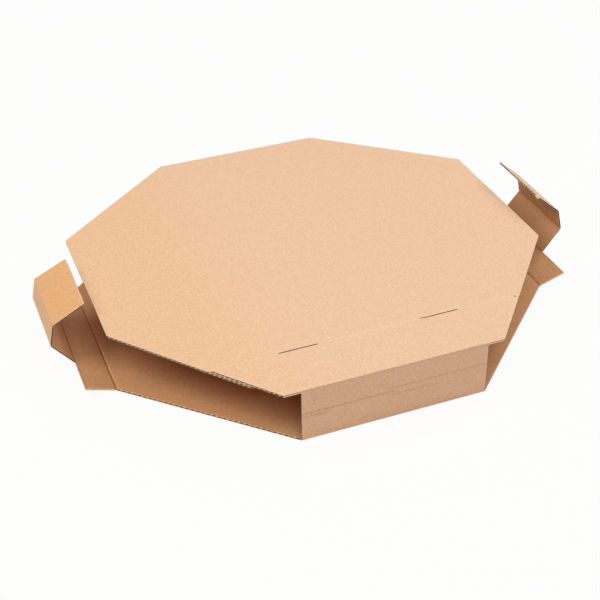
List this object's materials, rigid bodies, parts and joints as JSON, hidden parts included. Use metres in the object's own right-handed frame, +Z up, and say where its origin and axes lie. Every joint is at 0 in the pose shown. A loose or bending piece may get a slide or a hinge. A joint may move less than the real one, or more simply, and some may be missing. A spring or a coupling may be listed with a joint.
{
  "type": "paella box",
  "caption": "Shallow octagonal cardboard carry box for a pan: lid and base joined front and rear, open sides with roll-up edge flaps, and a front flap that locks into the lid.",
  "frame": {"origin": "centre of the base's underside, on the table", "axes": "+X along the front wall, to the right seen from the front; +Y towards the rear wall; +Z up"},
  "size_m": [0.4856, 0.39, 0.0706],
  "materials": {
    "kraft_board": "uncoated brown kraft paper on fine fluted board, dull, with fibres and faint flute lines"
  },
  "bodies": {
    "shell": {"shell": "kraft_board"},
    "front_flap": {"front_flap": "kraft_board"},
    "left_wall": {"left_wall_panel": "kraft_board"},
    "left_ledge": {"left_ledge_panel": "kraft_board"},
    "left_return": {"left_return_panel": "kraft_board"},
    "left_tuck": {"left_tuck_panel": "kraft_board"},
    "right_wall": {"right_wall_panel": "kraft_board"},
    "right_ledge": {"right_ledge_panel": "kraft_board"},
    "right_return": {"right_return_panel": "kraft_board"},
    "right_tuck": {"right_tuck_panel": "kraft_board"}
  },
  "joints": [
    {"name": "front_flap_fold", "type": "hinge", "parent": "shell", "child": "front_flap", "pos_m": [0, -0.195, 0.05], "axis": [1, 0, 0], "range_deg": [0, 180]},
    {"name": "left_wall_fold", "type": "hinge", "parent": "shell", "child": "left_wall", "pos_m": [-0.2, 0, 0], "axis": [0, 1, 0], "range_deg": [-17.7, 25]},
    {"name": "left_ledge_fold", "type": "hinge", "parent": "left_wall", "child": "left_ledge", "pos_m": [-0.22496, 0, 0.00797], "axis": [0, 1, 0], "range_deg": [-33.5, 5]},
    {"name": "left_return_fold", "type": "hinge", "parent": "left_ledge", "child": "left_return", "pos_m": [-0.24288, 0, 0.03026], "axis": [0, 1, 0], "range_deg": [-51, 5]},
    {"name": "left_tuck_fold", "type": "hinge", "parent": "left_return", "child": "left_tuck", "pos_m": [-0.2387, 0, 0.04961], "axis": [0, 1, 0], "range_deg": [-51.4, 5]},
    {"name": "right_wall_fold", "type": "hinge", "parent": "shell", "child": "right_wall", "pos_m": [0.2, 0, 0], "axis": [0, -1, 0], "range_deg": [-17.7, 25]},
    {"name": "right_ledge_fold", "type": "hinge", "parent": "right_wall", "child": "right_ledge", "pos_m": [0.22496, 0, 0.00797], "axis": [0, -1, 0], "range_deg": [-33.5, 5]},
    {"name": "right_return_fold", "type": "hinge", "parent": "right_ledge", "child": "right_return", "pos_m": [0.24288, 0, 0.03026], "axis": [0, -1, 0], "range_deg": [-51, 5]},
    {"name": "right_tuck_fold", "type": "hinge", "parent": "right_return", "child": "right_tuck", "pos_m": [0.2387, 0, 0.04961], "axis": [0, -1, 0], "range_deg": [-36.9, 19.5]}
  ]
}
